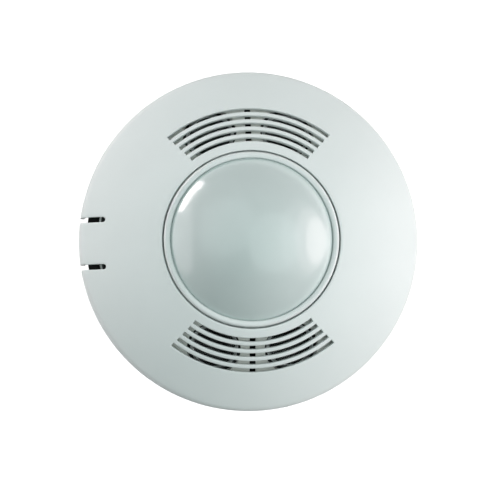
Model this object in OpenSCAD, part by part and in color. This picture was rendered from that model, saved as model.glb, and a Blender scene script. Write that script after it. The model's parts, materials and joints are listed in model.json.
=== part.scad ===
// Round ceiling motion sensor: an infrared detector under a domed lens, and two pairs of
// ultrasonic transducers behind arc grilles in the cover.
// The origin is the centre of the base's ceiling face. +Z points away from the ceiling,
// +Y runs through the middle of the upper grille, and the release tab is at -X.

/* [Cover] */
// Outside diameter of the cover
cover_d = 114.3; // [113.5:0.1:115]
// Radius of the domed front
dome_r = 102; // [100:0.5:104]
// Height that the dome would reach on the axis
crown_h = 28.4; // [28.2:0.1:28.8]
// Wall thickness
cover_wall = 1.6; // [1.4:0.1:1.8]
// Radius of the shoulder between dome and side
shoulder_r = 3; // [2.5:0.1:3.5]
// Gap between the ceiling and the cover's edge
rim_gap = 0.5; // [0.3:0.1:0.8]

/* [Grilles] */
// Slots in each grille
slot_count = 5; // [3:1:5]
// Radius of the innermost slot
slot_r0 = 33.4; // [33.2:0.1:33.6]
// Distance from slot to slot
slot_pitch = 2.52; // [2.3:0.02:2.6]
// Width of a slot
slot_w = 1.22; // [1:0.02:1.4]
// Half angle of the innermost slot
slot_half_angle = 36; // [30:0.5:37]
// Extra half angle of each slot further out
slot_angle_step = 0.5; // [0:0.1:0.6]
// Depth of the fins between the slots
fin_h = 2.8; // [2:0.1:3]

/* [Release tab] */
// Distance between the centre lines of the tab's two slots
tab_slot_spacing = 15.8; // [14:0.1:18]
// Width of the tab's slots
tab_slot_w = 1.78; // [1.4:0.02:2]
// Distance of the tab's root from the axis
tab_root_x = 48.3; // [47.5:0.1:49]

/* [Lens and ring] */
// Radius of the cover's opening round the ring
seat_r = 29.75; // [29.6:0.05:30]
// Height of the shelf that carries the lens
shelf_z = 20; // [19.6:0.1:20.2]
// Outer radius of the ring
ring_r = 29.2; // [29:0.05:29.3]
// Radial width of the ring
ring_w = 2.05; // [1.9:0.05:2.1]
// Radius of the lens where its dome starts
lens_foot_r = 26.85; // [26.6:0.05:26.9]
// Height at which the dome of the lens starts
lens_foot_z = 24.2; // [23.8:0.1:24.4]
// Height of the top of the lens
lens_top_z = 36.8; // [36:0.1:38]
// Thickness of the lens
lens_wall = 0.7; // [0.5:0.05:0.9]

/* [Base] */
// Radius of the base's flange
flange_r = 54.5; // [54:0.1:54.6]
// Thickness of the base's floor
floor_t = 2; // [1.8:0.1:2.2]
// Outer radius of the wall that stands on the floor
base_wall_r = 50.8; // [50.6:0.1:50.9]
// Diameter of the wire hole, for a half inch trade size nipple
wire_hole_d = 22.2; // [21.5:0.1:23]
// Distance between the centres of the two box screw slots
box_screw_spacing = 86.1; // [85:0.1:87]
// Width of a box screw slot
box_slot_w = 4.4; // [4.2:0.1:4.8]
// Length of a box screw slot
box_slot_l = 7.2; // [7:0.1:7.6]
// Distance of each board screw from the X and Y axes
boss_xy = 29.7; // [29.5:0.1:30]

/* [Circuit board] */
// Height of the underside of the board
board_z = 6.5; // [6.3:0.1:6.8]
// Thickness of the board
board_t = 1.6; // [1.4:0.1:1.6]
// Radius of the board
board_r = 48.4; // [48:0.1:48.8]
// Positions on each of the two setting switches
dip_ways = 6; // [6:1:6]
// Travel of a setting switch's slider
dip_travel = 2; // [1.6:0.1:2]

/* [Transducers] */
// Distance of a transducer's mouth from the axis
mouth_r = 38.5; // [38.3:0.1:38.8]
// Angle of each transducer off the Y axis
mouth_angle = 19.8; // [19.4:0.1:20.2]
// Diameter of a transducer
can_d = 16; // [15.6:0.1:16]
// Height of a transducer's can
can_h = 8.3; // [8:0.1:8.5]

/* [Hidden] */
$fn = 96;
eps = 0.01;
seam_step = 0.02;
cover_r = cover_d / 2;
dome_c = crown_h - dome_r;
shoulder_x = cover_r - shoulder_r;
shoulder_z = dome_c + sqrt(pow(dome_r - shoulder_r, 2) - pow(shoulder_x, 2));
neck_t = 1.4;
shelf_t = 1.6;
shelf_in_r = 26;
pad_in_r = 32;
pad_out_r = 46;
pad_angle = 80;
lens_flange_t = 0.8;
lens_rise = lens_top_z - lens_foot_z;
lens_r = (pow(lens_foot_r, 2) + pow(lens_rise, 2)) / (2 * lens_rise);
lens_c = lens_top_z - lens_r;
claw_angles = [30, 150, 210, 330];
claw_span = 12;
tab_half_w = (tab_slot_spacing - tab_slot_w) / 2;
tab_gap = 0.1;
catch_r = flange_r + 0.2;
base_wall_t = 1.3;
base_wall_z = 11.6;
seal_t = 0.6;
seal_h = 0.6;
screw_hole_r = 1.45;
screw_r = 1.4;
boss_r = 3.6;
lug_r = 4;
lug_t = 2;
board_top = board_z + board_t;
corner_signs = [[1, 1], [-1, 1], [-1, -1], [1, -1]];
skin_r = dome_r - 3.5;
skin_t = 1.5;
tilt = asin(mouth_r / skin_r);
socket_bore_r = 9.05;
socket_r = 10.4;
socket_low = 88.5;
boot_low = 87.7;
boot_high = 95.6;
can_high = 96;
can_low = can_high - can_h;
can_wall = 0.5;
ring_clear_r = 31.6;
ring_clear_z = 17.9;
dip_x = 32.5;
dip_y = 15.5;
dip_pitch = 2.54;
dip_size = [10, 17.4, 3.3];
slider_size = [1.6, 1.3, 1.7];
slider_gap = 0.05;
slider_depth = 1.15;
trimmer_x = 20;
trimmer_ys = [8, 0, -8];
trimmer_size = [6.8, 6.8, 4.2];
rotor_r = 2.65;
rotor_depth = 1.5;
terminal_size = [8, 19.6, 7.8];
terminal_at = [-32, 14.5];
terminal_pitch = 3.81;
terminal_ways = 5;
relay_size = [10, 15, 7.5];
relay_at = [-32.5, -15.5];
wire_slot_at = [-23.5, 15];
wire_slot_w = 4.6;
wire_slot_l = 15;
header_y = 21.5;
header_size = [8, 4, 4.5];
lead_r = 0.45;
white = [0.93, 0.94, 0.935];
milky = [0.88, 0.91, 0.90];
cream = [0.90, 0.89, 0.85];
board_green = [0.09, 0.33, 0.20];
metal = [0.74, 0.75, 0.76];
dark = [0.07, 0.07, 0.08];

// ---------- shared shapes ----------

// Half section of everything inside the cover's outside, pulled in by inset. The shoulder's
// arc is a hair inside the dome and the side, so that no two arcs end on one tangent.
module cover_outline(inset) {
    corner = [shoulder_x, shoulder_z];
    along = [shoulder_x, shoulder_z - dome_c] / (dome_r - shoulder_r);
    reach = 2 * dome_r;
    intersection() {
        translate([0, dome_c]) circle(dome_r - inset);
        polygon([[0, shoulder_z], corner, corner + along * reach, [0, reach]]);
    }
    intersection() {
        translate(corner) circle(shoulder_r - inset - seam_step);
        polygon([corner, corner + along * 9, corner + [9, 9], corner + [9, 0]]);
    }
    translate([0, -9]) square([cover_r - inset, shoulder_z + 9]);
}

// Half section of the cover's wall, with the seat of the lens
module cover_section() {
    intersection() {
        difference() {
            cover_outline(0);
            cover_outline(cover_wall);
        }
        translate([seat_r, rim_gap]) square([cover_r, crown_h]);
    }
    intersection() {
        cover_outline(0);
        translate([seat_r, shelf_z - shelf_t]) square([neck_t, crown_h]);
    }
    translate([shelf_in_r, shelf_z - shelf_t]) square([seat_r + neck_t - shelf_in_r, shelf_t]);
}

// Half section of the thicker pad that the slots are cut through
module pad_section() {
    intersection() {
        difference() {
            translate([0, dome_c]) circle(dome_r - cover_wall / 2);
            translate([0, dome_c]) circle(dome_r - fin_h);
        }
        translate([pad_in_r, 0]) square([pad_out_r - pad_in_r, crown_h]);
    }
}

// An arc-shaped block from radius r_in to r_out, centred on the angle at
module arc_block(r_in, r_out, z_low, z_high, at, span) {
    rotate_extrude(angle = span, start = at - span / 2)
        translate([r_in, z_low]) square([r_out - r_in, z_high - z_low]);
}

// Places its children on a transducer's axis, with Z = distance from the dome's centre
module on_transducer(side, hand) {
    translate([0, 0, dome_c])
        rotate([0, 0, side * 90 - hand * mouth_angle])
            rotate([0, tilt, 0])
                children();
}

function transducer_side(i) = i < 3 ? 1 : -1;
function transducer_hand(i) = i % 2 == 1 ? 1 : -1;

module tube(r_out, r_in, h) {
    difference() {
        cylinder(r = r_out, h = h);
        translate([0, 0, -1]) cylinder(r = r_in, h = h + 2);
    }
}

module box_at(at, size) {
    translate([at.x - size.x / 2, at.y - size.y / 2, board_top]) cube(size);
}

// A long hole with round ends, along X
module slot_hole(length, width, z_low, z_high) {
    for (s = [-1, 1])
        translate([s * (length - width) / 2, 0, z_low]) cylinder(d = width, h = z_high - z_low);
    translate([-(length - width) / 2, -width / 2, z_low])
        cube([length - width, width, z_high - z_low]);
}

// A run of round wire through the points, with balls a little wider than it at the bends
module wire(points, r) {
    for (i = [0:len(points) - 2]) {
        step = points[i + 1] - points[i];
        turn = atan2(step.y, step.x);
        lean = acos(step.z / norm(step));
        translate(points[i]) rotate([0, lean, turn]) cylinder(r = r, h = norm(step), $fn = 24);
        translate(points[i + 1]) sphere(r * 1.1, $fn = 24);
    }
}

// ---------- cover ----------

module grille_cuts() {
    for (side = [1, -1])
        for (i = [0:slot_count - 1]) {
            r = slot_r0 + i * slot_pitch;
            span = 2 * (slot_half_angle + i * slot_angle_step);
            arc_block(r - slot_w / 2, r + slot_w / 2, 2, crown_h + 2, side * 90, span);
        }
}

module tab_cuts() {
    reach = cover_r + 5 - tab_root_x;
    translate([-tab_root_x - reach, -tab_half_w - eps, -1])
        cube([reach, 2 * tab_half_w + 2 * eps, crown_h]);
    for (s = [-1, 1]) {
        end_x = -tab_root_x - tab_slot_w / 2;
        translate([end_x, s * tab_slot_spacing / 2, -1]) cylinder(d = tab_slot_w, h = crown_h);
        translate([end_x - reach, s * tab_slot_spacing / 2 - tab_slot_w / 2, -1])
            cube([reach, tab_slot_w, crown_h]);
    }
}

// Small ridge inside the cover's edge that grips the base's flange
module grip_ridge(at, span) {
    side = cover_r - cover_wall + 0.3;
    rotate_extrude(angle = span, start = at - span / 2)
        polygon([[side, rim_gap], [side, 2.4], [catch_r, 1.6], [catch_r, 1.1]]);
}

module front_cover() {
    color(white) difference() {
        union() {
            rotate_extrude() cover_section();
            for (side = [1, -1])
                rotate_extrude(angle = pad_angle, start = side * 90 - pad_angle / 2) pad_section();
            for (at = [60, -60]) grip_ridge(at, 8);
        }
        grille_cuts();
        tab_cuts();
        for (at = claw_angles)
            arc_block(27.3, 29, shelf_z - shelf_t - 1, shelf_z + 1, at, claw_span + 3);
    }
}

module release_tab() {
    color(white) intersection() {
        union() {
            rotate_extrude(angle = 24, start = 168) cover_section();
            grip_ridge(180, 12);
        }
        translate([-cover_r - 1, -tab_half_w, 0])
            cube([cover_r + 1 - tab_root_x - tab_gap, 2 * tab_half_w, crown_h]);
    }
}

// ---------- lens and ring ----------

module lens_outline(inset) {
    foot = sqrt(pow(lens_r - inset, 2) - pow(lens_foot_z - lens_c, 2));
    intersection() {
        translate([0, lens_c]) circle(lens_r - inset);
        translate([0, lens_foot_z]) square([40, 20]);
    }
    translate([0, shelf_z - inset * 2]) square([foot, lens_foot_z - shelf_z + inset * 2]);
}

module lens() {
    flange_w = ring_r - 0.2 - lens_foot_r + 0.4;
    color(milky) difference() {
        rotate_extrude() {
            difference() {
                lens_outline(0);
                lens_outline(lens_wall);
            }
            translate([lens_foot_r - 0.4, shelf_z]) square([flange_w, lens_flange_t]);
        }
        for (at = claw_angles)
            arc_block(27.2, 30, shelf_z - 1, shelf_z + 2, at, claw_span + 2);
    }
}

module lens_ring() {
    low = shelf_z + lens_flange_t;
    ring_in_r = ring_r - ring_w;
    edge_z = 24.3;
    crown = 0.5;
    color(white) {
        rotate_extrude() {
            translate([ring_in_r, low]) square([ring_w, edge_z - low]);
            intersection() {
                translate([ring_r - ring_w / 2, edge_z + crown - 2]) circle(2);
                translate([ring_in_r + 0.25, edge_z]) square([ring_w - 0.5, 2]);
            }
        }
        for (at = claw_angles) {
            arc_block(27.6, 28.6, 17.2, low + 1, at, claw_span);
            arc_block(28.3, 29.4, 17.2, shelf_z - shelf_t - 0.1, at, claw_span);
        }
    }
}

// ---------- base and fasteners ----------

module base() {
    color(dark) difference() {
        union() {
            cylinder(r = flange_r, h = floor_t);
            tube(base_wall_r, base_wall_r - base_wall_t, base_wall_z);
            for (c = corner_signs)
                translate([c.x * boss_xy, c.y * boss_xy, 0]) cylinder(r = boss_r, h = board_z);
            tube(wire_hole_d / 2 + 1.6, wire_hole_d / 2, floor_t + 1.4);
        }
        translate([0, 0, -1]) cylinder(d = wire_hole_d, h = floor_t + 4);
        for (s = [-1, 1])
            translate([s * box_screw_spacing / 2, 0, 0])
                slot_hole(box_slot_l, box_slot_w, -1, floor_t + 1);
        for (c = corner_signs)
            translate([c.x * boss_xy, c.y * boss_xy, 1]) cylinder(r = screw_hole_r, h = board_z);
    }
}

// Pale ring on the edge of the base's wall, which closes it against the cover
module edge_seal() {
    color([0.8, 0.81, 0.8]) translate([0, 0, base_wall_z])
        tube(base_wall_r, base_wall_r - seal_t, seal_h);
}

module board_screws() {
    under_head = board_top + lug_t;
    color(metal) for (c = corner_signs)
        translate([c.x * boss_xy, c.y * boss_xy, 0]) difference() {
            union() {
                translate([0, 0, 3.5]) cylinder(r = screw_r, h = under_head - 3.5 + eps);
                translate([0, 0, under_head]) cylinder(r = 2.8, h = 1.3);
                translate([0, 0, under_head + 1.3]) cylinder(r1 = 2.8, r2 = 2.2, h = 0.5);
            }
            for (a = [0, 90])
                rotate(a) translate([-1.6, -0.3, under_head + 0.8]) cube([3.2, 0.6, 2]);
        }
}

// ---------- circuit board ----------

module board_outline() {
    difference() {
        circle(board_r);
        for (side = [1, -1])
            intersection() {
                difference() {
                    circle(board_r + 5);
                    circle(27.5);
                }
                polygon([[0, 0], [tan(40) * 90, side * 90], [-tan(40) * 90, side * 90]]);
            }
        for (s = [-1, 1]) translate([s * 47, 0]) square([20, 11], center = true);
        for (c = corner_signs) translate([c.x * boss_xy, c.y * boss_xy]) circle(1.6);
    }
}

module circuit_board() {
    color(board_green) difference() {
        translate([0, 0, board_z]) linear_extrude(board_t) board_outline();
        translate(wire_slot_at) rotate(90) slot_hole(wire_slot_l, wire_slot_w, board_z - 1, board_top + 1);
    }
}

// ---------- ultrasonic transducers ----------

module holder_arm(hand) {
    lug = [hand * boss_xy, boss_xy];
    aim = [hand * sin(mouth_angle), cos(mouth_angle)] * 35 - lug;
    translate([lug.x, lug.y, board_top]) {
        cylinder(r = lug_r, h = lug_t);
        rotate(atan2(aim.y, aim.x)) translate([0, -3, 0]) cube([12, 6, lug_t]);
    }
}

module transducer_holder() {
    color(cream) difference() {
        union() {
            rotate_extrude(angle = pad_angle, start = 90 - pad_angle / 2)
                intersection() {
                    difference() {
                        translate([0, dome_c]) circle(skin_r);
                        translate([0, dome_c]) circle(skin_r - skin_t);
                    }
                    translate([ring_clear_r, 5]) square([46.8 - ring_clear_r, 20]);
                }
            for (hand = [1, -1]) {
                on_transducer(1, hand) translate([0, 0, socket_low])
                    cylinder(r = socket_r, h = skin_r - 1 - socket_low);
                holder_arm(hand);
            }
        }
        for (hand = [1, -1]) {
            on_transducer(1, hand) translate([0, 0, 80]) cylinder(r = socket_bore_r, h = 30);
            translate([hand * boss_xy, boss_xy, 5]) cylinder(r = 1.6, h = 9);
        }
        translate([0, 0, ring_clear_z]) cylinder(r = ring_clear_r - 0.05, h = 9);
        translate([-1, 32.6, 9]) cube([2, 11.8, 20]);
    }
}

module transducer_can(i) {
    color(metal) on_transducer(transducer_side(i), transducer_hand(i)) {
        translate([0, 0, can_low]) difference() {
            cylinder(d = can_d, h = can_h);
            translate([0, 0, 1.2]) cylinder(d = can_d - 2 * can_wall, h = can_h);
        }
        for (s = [-1, 1])
            translate([0, s * 2.54, can_low - 3]) cylinder(r = 0.4, h = 3.2, $fn = 24);
    }
}

module transducer_boot(i) {
    color(dark) on_transducer(transducer_side(i), transducer_hand(i))
        translate([0, 0, boot_low]) tube(socket_bore_r - 0.05, can_d / 2 + 0.05, boot_high - boot_low);
}

module transducer_cone(i) {
    color([0.62, 0.63, 0.64]) on_transducer(transducer_side(i), transducer_hand(i))
        translate([0, 0, can_low + 1.2]) {
            cylinder(r = 4.6, h = 1.6);
            cylinder(r = 0.9, h = 3.4);
            translate([0, 0, 3.2])
                rotate_extrude() polygon([[0, 0], [1, 0], [4.4, 2.3], [4.4, 2.6], [0.9, 0.4], [0, 0.4]]);
        }
}

// ---------- parts on the board ----------

module pir_spacer() {
    color(cream) translate([0, 0, board_top]) cylinder(r = 4.8, h = 3);
}

module pir_detector() {
    color(metal) translate([0, 0, board_top + 3]) {
        cylinder(r = 4.6, h = 0.5);
        difference() {
            cylinder(r = 4.1, h = 4.2);
            translate([-2, -1.5, 3.7]) cube([4, 3, 2]);
        }
    }
}

module pir_window() {
    color([0.25, 0.22, 0.2]) translate([-2, -1.5, board_top + 6.7]) cube([4, 3, 0.45]);
}

module led(at) {
    translate([at.x, at.y, board_top]) {
        cylinder(r = 1.9, h = 1);
        cylinder(r = 1.5, h = 4);
        translate([0, 0, 4]) sphere(1.5);
    }
}

module red_led() {
    color([0.85, 0.12, 0.1]) led([-6.5, -10.5]);
}

module green_led() {
    color([0.12, 0.7, 0.25]) led([6.5, -10.5]);
}

module light_sensor() {
    color([0.8, 0.82, 0.78]) translate([0, 12, board_top]) {
        cylinder(r = 2.5, h = 2.4);
        translate([0, 0, 2.4]) cylinder(r = 2, h = 0.4);
    }
}

function dip_side(s) = s == "a" ? 1 : -1;
function slider_y(s, i) = dip_side(s) * dip_y + (i - (dip_ways + 1) / 2) * dip_pitch;
slider_rest_x = dip_x - (slider_size.x + dip_travel) / 2;

module dip_switch(s) {
    color([0.75, 0.12, 0.12]) difference() {
        box_at([dip_x, dip_side(s) * dip_y], dip_size);
        for (i = [1:dip_ways])
            translate([
                slider_rest_x - slider_gap,
                slider_y(s, i) - slider_size.y / 2 - slider_gap,
                board_top + dip_size.z - slider_depth - slider_gap
            ])
                cube([slider_size.x + dip_travel + 2 * slider_gap, slider_size.y + 2 * slider_gap, 3]);
    }
}

module slider(s, i) {
    color(white) translate([
        slider_rest_x,
        slider_y(s, i) - slider_size.y / 2,
        board_top + dip_size.z - slider_depth
    ])
        cube(slider_size);
}

module trimmer(i) {
    top = board_top + trimmer_size.z;
    color([0.12, 0.3, 0.62]) difference() {
        box_at([trimmer_x, trimmer_ys[i - 1]], trimmer_size);
        translate([trimmer_x, trimmer_ys[i - 1], top - rotor_depth]) cylinder(r = rotor_r + 0.05, h = 3);
    }
}

module rotor(i) {
    low = board_top + trimmer_size.z - rotor_depth + 0.05;
    color(cream) translate([trimmer_x, trimmer_ys[i - 1], low]) difference() {
        cylinder(r = rotor_r, h = rotor_depth + 0.3);
        translate([-1.9, -0.35, rotor_depth - 0.5]) cube([3.8, 0.7, 2]);
    }
}

function terminal_y(i) = terminal_at.y + (i - 3) * terminal_pitch;

module terminal_block() {
    color([0.15, 0.45, 0.25]) difference() {
        box_at(terminal_at, terminal_size);
        for (i = [1:terminal_ways])
            translate([terminal_at.x, terminal_y(i), 0]) {
                translate([0, 0, board_top + 3]) cylinder(r = 1.6, h = 9);
                translate([0, -1.35, board_top + 0.8]) cube([9, 2.7, 2.6]);
            }
    }
}

module terminal_screws() {
    color(metal) for (i = [1:terminal_ways])
        translate([terminal_at.x, terminal_y(i), board_top]) difference() {
            translate([0, 0, 4.2]) cylinder(r = 1.5, h = 2.4);
            translate([-1.2, -0.25, 6]) cube([2.4, 0.5, 2]);
        }
}

module terminal_clamps() {
    color(metal) for (i = [1:terminal_ways])
        translate([terminal_at.x - 1.1, terminal_y(i) - 1.1, board_top + 3.45]) cube([2.2, 2.2, 0.7]);
}

module relay() {
    color([0.9, 0.9, 0.88]) {
        box_at(relay_at, relay_size - [0, 0, 0.4]);
        box_at(relay_at, relay_size - [0.8, 0.8, 0]);
    }
}

module capacitors() {
    // each is [x, y, radius, height]
    color([0.16, 0.18, 0.24]) for (c = [[-15, 9.6, 3.15, 7], [-10, 17.2, 3.15, 7], [-19.5, -13, 4, 8]])
        translate([c[0], c[1], board_top]) {
            cylinder(r = c[2], h = 0.8);
            cylinder(r = c[2] - 0.25, h = 1.4);
            translate([0, 0, 1.3]) cylinder(r = c[2], h = c[3] - 1.3);
        }
}

// A flat chip with pins along two sides; size is [x, y, height], pins run along X
module chip(at, size, pins) {
    step = size.x / pins;
    box_at([at.x, at.y], size);
    for (i = [0:pins - 1])
        translate([at.x - size.x / 2 + (i + 0.5) * step - 0.2, at.y - size.y / 2 - 1, board_top])
            cube([0.4, size.y + 2, size.z * 0.45]);
}

module integrated_circuits() {
    color(dark) {
        chip([-18, 0], [7, 7, 1.2], 8);
        chip([12, -17], [8.6, 3.9, 1.5], 7);
        chip([-8, -17.5], [5, 3.9, 1.5], 4);
        chip([12, 16.5], [8.6, 3.9, 1.5], 7);
    }
}

module chip_parts() {
    // rows of small surface-mounted parts: [x, y, how many, step along Y]
    rows = [[-7.8, 5.6, 3, 2.6], [7.8, -5, 5, 2.6], [12.5, -8, 7, 2.6], [26, -3, 3, 2.8],
            [-24.6, -3.6, 4, 2.5], [-12.6, -8, 2, 2.6], [41.5, 9, 3, 2.6], [41.5, -14, 3, 2.6]];
    color([0.2, 0.17, 0.14]) for (r = rows)
        for (i = [0:r[2] - 1]) box_at([r[0], r[1] + i * r[3]], [2, 1.25, 0.6]);
}

module crystal() {
    color(metal) box_at([-10.6, 0], [3.2, 5, 1.2]);
}

module transducer_headers() {
    color(cream) for (side = [1, -1]) difference() {
        box_at([0, side * header_y], header_size);
        translate([-header_size.x / 2 + 0.6, side * header_y - header_size.y / 2 + 0.6, board_top + 3])
            cube([header_size.x - 1.2, header_size.y - 1.2, 3]);
    }
}

// The lower end of a transducer's pin; w is 0 or 1
function pin_end(side, hand, w) =
    let (turn = side * 90 - hand * mouth_angle, back = can_low - 3.6, r = back * sin(tilt))
    [r * cos(turn), r * sin(turn), dome_c + back * cos(tilt)]
        + 2.54 * (w == 0 ? hand : -hand) * side * [-sin(turn), cos(turn), 0];

module transducer_leads() {
    out_y = header_y + header_size.y / 2 + 0.3;
    color([0.75, 0.72, 0.68]) for (side = [1, -1]) for (hand = [1, -1]) for (w = [0, 1]) {
        x = hand * (1.3 + w * 1.9);
        wire([
            [x, side * out_y, board_top + 1.6],
            [x + hand * 0.7, side * 28.5, board_top + 0.56],
            [x + hand * 1.2, side * 29.1, 5 - w],
            pin_end(side, hand, w)
        ], lead_r);
    }
}

base();
edge_seal();
circuit_board();
board_screws();
front_cover();
release_tab();
lens_ring();
lens();
transducer_holder();  // upper_transducer_holder
rotate(180) transducer_holder();  // lower_transducer_holder
for (i = [1:4]) {
    transducer_can(i);
    transducer_boot(i);
    transducer_cone(i);
}
pir_detector();
pir_window();
pir_spacer();
red_led();
green_led();
light_sensor();
for (s = ["a", "b"]) {
    dip_switch(s);
    for (i = [1:dip_ways]) slider(s, i);
}
for (i = [1:3]) {
    trimmer(i);
    rotor(i);
}
terminal_block();
terminal_screws();
terminal_clamps();
relay();
capacitors();
integrated_circuits();
chip_parts();
crystal();
transducer_headers();
transducer_leads();
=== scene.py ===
# Looks of a round ceiling motion sensor: a domed cover with two arc grilles and a release tab,
# a milky lens in a ring, and the board, transducers and base inside.
# Lengths are in mm, and MM turns them into metres. The distances and sizes of the camera, the
# floor and the lights are in metres, and angles are in degrees unless a name says otherwise.

import math

import bmesh
import bpy
import numpy as np
from mathutils import Matrix, Vector
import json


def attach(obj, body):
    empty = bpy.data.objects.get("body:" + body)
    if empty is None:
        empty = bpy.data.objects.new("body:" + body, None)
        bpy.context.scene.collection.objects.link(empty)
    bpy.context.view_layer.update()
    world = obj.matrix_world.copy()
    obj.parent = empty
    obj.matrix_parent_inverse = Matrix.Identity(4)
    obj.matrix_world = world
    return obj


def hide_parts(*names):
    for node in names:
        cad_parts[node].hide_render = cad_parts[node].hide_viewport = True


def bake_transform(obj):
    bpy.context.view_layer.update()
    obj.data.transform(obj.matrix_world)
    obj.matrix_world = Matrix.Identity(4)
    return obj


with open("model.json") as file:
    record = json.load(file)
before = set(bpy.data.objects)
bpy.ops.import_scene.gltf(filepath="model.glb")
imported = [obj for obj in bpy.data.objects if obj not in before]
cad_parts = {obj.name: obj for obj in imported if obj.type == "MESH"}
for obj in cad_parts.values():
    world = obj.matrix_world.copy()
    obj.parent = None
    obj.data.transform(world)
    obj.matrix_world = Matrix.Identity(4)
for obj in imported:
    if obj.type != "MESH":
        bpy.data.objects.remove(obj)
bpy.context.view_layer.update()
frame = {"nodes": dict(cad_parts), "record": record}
NODES = frame["nodes"]
MM = 0.001

# ---------- sizes shared by several pieces ----------

MERGE = 0.001 * MM  # points closer than this are one
FAR = 99.0  # beyond every piece

# the cover: its dome, side and shoulder, and the seat, neck and shelf round the lens
DOME_R, DOME_C = 102.0, -73.6
COVER_R, WALL = 57.15, 1.6
SHOULDER_X, SHOULDER_Z, SHOULDER_R = 54.15, 9.278, 3.0
SEAT_R, NECK_R, SHELF_IN_R = 29.75, 31.15, 26.0
SHELF_TOP, SHELF_LOW = 20.0, 18.4
RIM_LOW, RIM_ROUND, BRIM_ROUND = 0.5, 0.35, 0.3
DOME_END_R = 55.79  # where the dome gives way to the shoulder
DRAW_IN_R = 50.0  # from here out the inner face is drawn in, so that the wall stays even
SIDE_ROWS_Z = (8.0, 6.4, 4.8, 3.4, 2.4, 1.6, 1.1)

# the grilles: a thicker pad each, and slots that grow longer outwards by SLOT_STEP each way
GRILLES = (90.0, 270.0)
PAD_IN_R, PAD_OUT_R, PAD_HALF, PAD_DEPTH = 32.0, 46.0, 40.0, 2.8
SLOTS, SLOT_R0, SLOT_PITCH = 5, 33.4, 2.52
SLOT_IN, SLOT_OUT, SLOT_LEAN = 0.61, 0.71, 0.32  # from a slot's middle; its outer wall leans
SLOT_HALF, SLOT_STEP = 36.0, 0.5
EDGE_ROUND = 0.2
EDGE_STATIONS = (0.0, 0.03, 0.09, 0.2)  # distances from an edge at which the sheet has points
END_STATIONS = (0, 0.05, 0.15, 0.35)  # the same beyond a slot's end, in degrees

# the ring's claws with their windows in the shelf, and the grip ridges inside the rim
CLAWS, CLAW_SPAN = (30.0, 150.0, 210.0, 330.0), 12.0
WINDOW_IN_R, WINDOW_OUT_R, WINDOW_HALF = 27.3, 29.0, CLAW_SPAN / 2 + 1.5
RIDGES = ((60.0, 4.0), (300.0, 4.0), (180.0, 6.0))  # middle and half span
RIDGE_R, RIDGE_ROWS, RIDGE_SLOPE = 54.7, (1.1, 1.6), 0.4

# the release tab, and the start and span of each change to the sheet's columns beside it
TAB_Y, TAB_GAP, TAB_ROOT, ROOT_FADE = 7.9, 0.89, 48.3, 2.0
TAB_SIDE = 60.0  # degrees each way in which distances to the tab are taken
STRAIGHT_Y, STRAIGHT_IN_R, STRAIGHT_OUT_R = (10, 10), (45, 2.4), (50, 3.3)
SLOT_PULL, BEND_MIN_R = (0.2, 2.8), 46.5
COLUMN_STEP, COLUMN_GAP = 1.5, 0.4

# the lens and its ring; LENS_OPEN is the share of a parabola in the lens's outside
LENS_R, LENS_C, LENS_FOOT_R, LENS_FOOT_Z, LENS_WALL = 34.9, 1.9, 26.85, 24.2, 0.7
LENS_OPEN = 0.6
LENS_FLANGE_R, LENS_FLANGE_T = 29.0, 0.8
LENS_STEP_START, LENS_STEP_PITCH, LENS_STEP_DEPTH = 24.5, 1.2, 0.22
RING_IN_R, RING_R, RING_EDGE_Z, RING_WAIST_Z = 27.15, 29.2, 24.3, 22.4
RING_CROWN, RING_CROWN_R = 0.5, 2.0

# the board, and the transducers about the dome's centre
BOARD_TOP = 8.1
MOUTH_R, MOUTH_ANGLE, SKIN_R, CAN_HIGH = 38.5, 19.8, 98.5, 96.0
TILT = math.asin(MOUTH_R / SKIN_R)
SCREEN_R, SCREEN_PITCH, SCREEN_WIRE, SCREEN_LOW = 7.5, 0.6, 0.12, 0.75
LIP_R, LIP_WIRE = 7.2, 0.3


def smooth(t):
    """0 below 0, 1 above 1, and an even curve between."""
    t = np.clip(t, 0.0, 1.0)
    return t * t * (3 - 2 * t)


def ramp(value, start, span):
    """0 up to start, 1 beyond start + span, and an even curve between."""
    return smooth((value - start) / span)


def apart(a, b):
    """The turn from angle b to angle a, between -180 and 180."""
    return (a - b + 180) % 360 - 180


def edge_drop(distance):
    """How far a rounded edge has fallen at this distance from it."""
    inside = np.clip(EDGE_ROUND - distance, 0, EDGE_ROUND)
    return EDGE_ROUND - np.sqrt(EDGE_ROUND**2 - inside**2)


def dome_z(r, inset=0.0):
    """Height of the dome at this radius, or of a sphere inset from it."""
    return DOME_C + np.sqrt((DOME_R - inset) ** 2 - np.minimum(r, FAR) ** 2)


def link(name, mesh):
    piece = bpy.data.objects.new(name, mesh)
    bpy.context.scene.collection.objects.link(piece)
    return piece


def plain_mesh(name, points, faces=(), edges=()):
    """A mesh from points in mm."""
    mesh = bpy.data.meshes.new(name)
    mesh.from_pydata([tuple(c * MM for c in p) for p in points], edges, faces)
    mesh.update()
    return mesh


# ---------- finishes ----------

NOISE_LOW, NOISE_HIGH = 0.3, 0.7  # the range in which most noise values lie


def start_finish(name, color, roughness, metallic=0.0, specular=0.5):
    """A new material, its tree and its Principled shader, with the even values set."""
    finish = bpy.data.materials.new(name)
    finish.use_nodes = True
    shader = finish.node_tree.nodes["Principled BSDF"]
    shader.inputs["Base Color"].default_value = (*color, 1)
    shader.inputs["Roughness"].default_value = roughness
    shader.inputs["Metallic"].default_value = metallic
    shader.inputs["Specular IOR Level"].default_value = specular
    return finish, finish.node_tree, shader


def feed(tree, socket, value):
    """Sets a socket to a value, or links another node's socket to it."""
    if isinstance(value, bpy.types.NodeSocket):
        tree.links.new(value, socket)
    else:
        socket.default_value = value


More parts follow.
